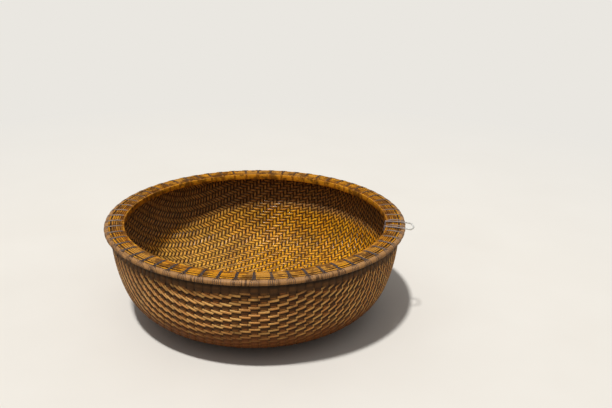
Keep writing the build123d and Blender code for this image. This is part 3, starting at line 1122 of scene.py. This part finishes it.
def lashingTree():
    tree, given, result = newTree("lashingTurns", "GeometryNodeTree", {
        "Geometry": "Geometry", "Lashings": "Int", "Turns": "Int", "First Angle": "Float",
        "Turn Angle": "Float", "Jitter Angle": "Float", "Fan": "Float", "Fan From": "Float",
        "Fan To": "Float", "Line Radius": "Float", "Seed": "Int", "Finish": "Material",
    }, {"Geometry": "Geometry"})
    count = times(given["Lashings"], given["Turns"])
    spots = made("GeometryNodeMeshLine", {"Count": count, "Offset": (0, 0, 0)})
    index = addNode(tree, "GeometryNodeInputIndex").outputs["Index"]
    number = calc("FLOOR", over(plus(index, 0.01), given["Turns"]))
    turn = minus(index, times(number, given["Turns"]))
    centred = minus(turn, times(minus(given["Turns"], 1.0), 0.5))
    jitter = randomValue(times(given["Jitter Angle"], -1.0), given["Jitter Angle"], index, given["Seed"])
    angle = plus(given["First Angle"], times(number, over(2 * math.pi, given["Lashings"])))
    angle = plus(plus(angle, times(centred, given["Turn Angle"])), jitter)
    loop = measured(made("GeometryNodeMeshToCurve", {"Mesh": given["Geometry"]}))
    copies = made("GeometryNodeInstanceOnPoints", {
        "Points": spots, "Instance": loop, "Rotation": vectorOf(0.0, 0.0, angle)})
    marked = stored(copies, "piece", index, domain="INSTANCE")
    marked = stored(marked, "offset", centred, domain="INSTANCE")
    copied = made("GeometryNodeRealizeInstances", {"Geometry": marked})
    # the turns fan out round the outer hoop
    place = addNode(tree, "GeometryNodeInputPosition").outputs["Position"]
    share = spread(radiusOf(place), given["Fan From"], given["Fan To"], interpolation_type="SMOOTHSTEP")
    extra = times(times(minus(given["Fan"], 1.0), share), times(named(tree, "offset"), given["Turn Angle"]))
    swung = made("ShaderNodeVectorRotate", {"Vector": place, "Angle": extra}, rotation_type="Z_AXIS")
    fanned = made("GeometryNodeSetPosition", {"Geometry": copied, "Position": swung})
    swept = made("GeometryNodeCurveToMesh", {
        "Curve": fanned, "Profile Curve": ringCurve(tree, given["Line Radius"]), "Fill Caps": True})
    lay = vectorOf(named(tree, "along"), 0.0, named(tree, "piece"))
    finishSweep(swept, lay, given["Finish"], result)
    return tree


def addLashings():
    f = lashings
    path = roundedOutline(rimOutline(), f["seat"])
    n = len(path)
    edges = [(k, (k + 1) % n) for k in range(n)]
    piece = meshObject("rimLashings", [(r, 0, z) for r, z in path], edges=edges)
    growWith(piece, lashingTree(), {
        "Lashings": f["count"], "Turns": f["turns"], "First Angle": math.radians(f["firstAngle"]),
        "Turn Angle": f["turnPitch"] / f["rimMiddle"], "Jitter Angle": f["jitter"] / f["rimMiddle"],
        "Fan": f["fan"], "Fan From": f["fanFrom"], "Fan To": f["fanTo"], "Line Radius": f["lineDiameter"] / 2,
        "Seed": f["seed"], "Finish": lineMaterial})
    settle(piece, "lashing_line", "rim_lashings")
    print(piece.name, len(piece.data.polygons), "from", n, "points")


addLashings()
print("rim lashed")


# oar loop: three-strand rope, through the weave, over the rim, out and back
loopRope = {
    "diameter": 0.0103, "strands": 3, "layLength": 0.038, "sides": 7, "step": 0.0016, "resolution": 24,
    "strandShare": 2.155,  # three strands side by side are this many times as thick as one
    "angles": (348.0, 354.0),
    "inside": 0.86655, "low": 0.60535, "over": 0.66065,
    "shoulder": 1.0438, "tip": 1.0578, "tipLevel": 0.6520, "bend": (1.036, 0.6545),
    "bendAngle": 0.001, "shoulderAngle": 0.012,
}
knots = {
    "radius": 0.9702, "level": 0.5972, "tilt": -0.087,
    "size": 0.0043, "lobes": 0.0014, "depth": 0.0036, "stops": 61,
    "ropeRadius": 0.0029, "sides": 8, "layStep": 0.002, "seed": 7,
}


def loopRoute():
    f = loopRope
    inside, over = f["inside"], f["over"]
    # radius and level from the hole in the hull, up inside the rim and over it
    leg = [
        (0.9608, 0.5974), (0.915, 0.6014), (0.8760, 0.6048), (inside + 0.0005, f["low"]),
        (inside - 0.0002, 0.6150), (inside, 0.633), (inside, 0.651), (inside, over),
        (0.8765, over), (0.920, over), (0.974, over), (1.010, 0.6580)]
    first, second = (math.radians(a) for a in f["angles"])
    shoulder, tip = (f["shoulder"], f["tipLevel"]), (f["tip"], f["tipLevel"])

    def at(angle, radius, level):
        return (radius * math.cos(angle), radius * math.sin(angle), level)

    return [at(first, *p) for p in leg] + [
        at(first - f["bendAngle"], *f["bend"]), at(first + f["shoulderAngle"], *shoulder),
        at((first + second) / 2, *tip),
        at(second - f["shoulderAngle"], *shoulder), at(second + f["bendAngle"], *f["bend"]),
    ] + [at(second, *p) for p in leg[::-1]]


def splinePoints(route, resolution):
    data = bpy.data.curves.new("route", "CURVE")
    data.dimensions = "3D"
    data.resolution_u = resolution
    spline = data.splines.new("NURBS")
    spline.points.add(len(route) - 1)
    for point, place in zip(spline.points, route):
        point.co = (*place, 1.0)
    spline.order_u = 3
    spline.use_endpoint_u = True
    holder = linked("route", data)
    mesh = bpy.data.meshes.new_from_object(holder.evaluated_get(bpy.context.evaluated_depsgraph_get()))
    points = np.array([v.co for v in mesh.vertices])
    bpy.data.objects.remove(holder)
    bpy.data.curves.remove(data)
    bpy.data.meshes.remove(mesh)
    return points


def evenly(points, step):
    run = np.r_[0, np.cumsum(np.linalg.norm(np.diff(points, axis=0), axis=1))]
    want = np.linspace(0, run[-1], max(2, int(run[-1] / step)))
    return np.stack([np.interp(want, run, points[:, k]) for k in range(3)], -1), want


def carriedFrames(path):
    # two directions square to the path, turned no more than it turns
    tangent = np.gradient(path, axis=0)
    tangent /= np.linalg.norm(tangent, axis=1)[:, None]
    side = np.cross(tangent[0], (0.0, 0.0, 1.0))
    if np.linalg.norm(side) < 0.1:
        side = np.cross(tangent[0], (1.0, 0.0, 0.0))
    sides = []
    for t in tangent:
        side = side - t * side.dot(t)
        side /= np.linalg.norm(side)
        sides.append(side)
    sides = np.array(sides)
    return sides, np.cross(tangent, sides)


def tubeMesh(path, radius, sides, offset=0):
    across, up = carriedFrames(path)
    points, faces, around = [], [], []
    for k, centre in enumerate(path):
        for s in range(sides):
            a = 2 * math.pi * s / sides
            points.append(centre + radius * (math.cos(a) * across[k] + math.sin(a) * up[k]))
            around.append(a)
    for k in range(len(path) - 1):
        for s in range(sides):
            a, b = offset + k * sides + s, offset + k * sides + (s + 1) % sides
            faces.append((a, b, b + sides, a + sides))
    last = offset + (len(path) - 1) * sides
    faces.append(tuple(range(offset + sides - 1, offset - 1, -1)))
    faces.append(tuple(range(last, last + sides)))
    return points, faces, around


def addRopePiece(name, node, tubes, layOf):
    # each tube is its path, radius and sides, and layOf gives a tube's lay at one of its points
    points, faces, lay = [], [], []
    for number, (path, radius, sides) in enumerate(tubes):
        p, q, around = tubeMesh(path, radius, sides, len(points))
        points += p
        faces += q
        lay += [layOf(number, k // sides, a / 1000) for k, a in enumerate(around)]
    piece = meshObject(name, points, faces, attributes={"lay": lay})
    shadeSmooth(piece)
    piece.data.materials.append(ropeMaterial)
    settle(piece, "loop_rope", node)


def addRope():
    f = loopRope
    path, run = evenly(splinePoints(loopRoute(), f["resolution"]), f["step"])
    across, up = carriedFrames(path)
    radius = f["diameter"] / 2 / f["strandShare"]
    tubes = []
    for strand in range(f["strands"]):
        phase = 2 * math.pi * (strand / f["strands"] + run / f["layLength"])
        away = np.cos(phase)[:, None] * across + np.sin(phase)[:, None] * up
        tubes.append((path + (f["diameter"] / 2 - radius) * away, radius, f["sides"]))
    addRopePiece("oarLoop", "oar_loop", tubes, lambda strand, row, around: (run[row], around, strand))
    print("rope", round(float(run[-1]), 3), "m")


def addKnots():
    f = knots
    tubes = []
    for angle in loopRope["angles"]:
        turn = math.radians(angle)
        out = Vector((math.cos(turn), math.sin(turn), f["tilt"])).normalized()
        side = Vector((-math.sin(turn), math.cos(turn), 0))
        up = out.cross(side)
        centre = Vector((f["radius"] * math.cos(turn), f["radius"] * math.sin(turn), f["level"]))
        ring = []
        for a in np.linspace(0, 2 * math.pi, f["stops"]):
            reach = f["size"] + f["lobes"] * math.cos(3 * a)
            sunk = out * f["depth"] * math.sin(3 * a)
            ring.append(centre + sunk + side * reach * math.cos(2 * a) + up * reach * math.sin(2 * a))
        tubes.append((np.array(ring), f["ropeRadius"], f["sides"]))
    addRopePiece(
        "loopKnots", "loop_knots", tubes, lambda knot, row, around: (row * f["layStep"], around, f["seed"]))


addRope()
addKnots()
print("oar loop tied")


# CAD nodes that stay hidden still carry their finish
nodeFinish = {
    "woven_hull": crossMaterial, "outer_hoop": outerHoopMaterial, "inner_hoop": innerHoopMaterial,
    "rim_lashings": lineMaterial, "oar_loop": ropeMaterial, "loop_knots": ropeMaterial,
}
for name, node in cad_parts.items():
    node.data.materials.clear()
    node.data.materials.append(nodeFinish.get(name, rimMaterial))


# floor, lights and world
studio = {
    "floorColor": srgb(222, 217, 208), "patchColor": srgb(214, 208, 198), "patchRange": (0.3, 0.7, 0.0, 0.35),
    "floorRough": 0.85, "floorSize": 140.0,
    "bounceColor": srgb(190, 174, 148), "farColor": srgb(234, 231, 225), "farRange": (2.2, 6.0),
    "skyTop": 0.44, "skyFoot": 0.10, "skyRange": (0.1, 0.9),
    "sunStrength": 3.0, "sunSpread": 4.0, "sunFrom": (-0.16, -0.29, 1.0),
}


def cameraRay(tree):
    return addNode(tree, "ShaderNodeLightPath").outputs["Is Camera Ray"]


def addFloor():
    f = studio
    half = f["floorSize"] / 2
    corners = [(-half, -half, 0), (half, -half, 0), (half, half, 0), (-half, half, 0)]
    floor = meshObject("floor", corners, [(0, 1, 2, 3)])
    material, tree, shader = startMaterial("paleFloor")
    place, seen = placeOf(tree), cameraRay(tree)
    color = mixColor(spread(noiseAt(place, 3.0, 1.3), *f["patchRange"]), f["floorColor"], f["patchColor"])
    # the floor throws back less light than it shows
    feed(shader.inputs["Base Color"], mixColor(seen, f["bounceColor"], color))
    feed(shader.inputs["Roughness"], f["floorRough"])
    # far from the boat the camera sees one plain pale tone
    plain = addNode(tree, "ShaderNodeEmission", {"Color": f["farColor"]}).outputs[0]
    share = times(spread(lengthOf(place), *f["farRange"]), seen)
    mix = made("ShaderNodeMixShader", {0: share, 1: shader.outputs[0], 2: plain})
    feed(next(n for n in tree.nodes if n.type == "OUTPUT_MATERIAL").inputs["Surface"], mix)
    floor.data.materials.append(material)


def addSun():
    data = bpy.data.lights.new("sun", "SUN")
    data.energy = studio["sunStrength"]
    data.angle = math.radians(studio["sunSpread"])
    turn = (-Vector(studio["sunFrom"])).to_track_quat("-Z", "Y")
    linked("sun", data).matrix_world = turn.to_matrix().to_4x4()


def addWorld():
    world = bpy.data.worlds.new("studio")
    scene.world = world
    world.use_nodes = True
    tree = world.node_tree
    tree.nodes.clear()
    up = parts(addNode(tree, "ShaderNodeTexCoord").outputs["Generated"])[2]
    strength = spread(up, *studio["skyRange"], studio["skyFoot"], studio["skyTop"])
    light = made("ShaderNodeBackground", {"Color": (1, 1, 1, 1), "Strength": strength})
    plain = addNode(tree, "ShaderNodeBackground", {"Color": studio["farColor"], "Strength": 1.0}).outputs[0]
    mix = made("ShaderNodeMixShader", {0: cameraRay(tree), 1: light, 2: plain})
    following("ShaderNodeOutputWorld", {0: mix})


addFloor()
addSun()
addWorld()
print("studio lit")
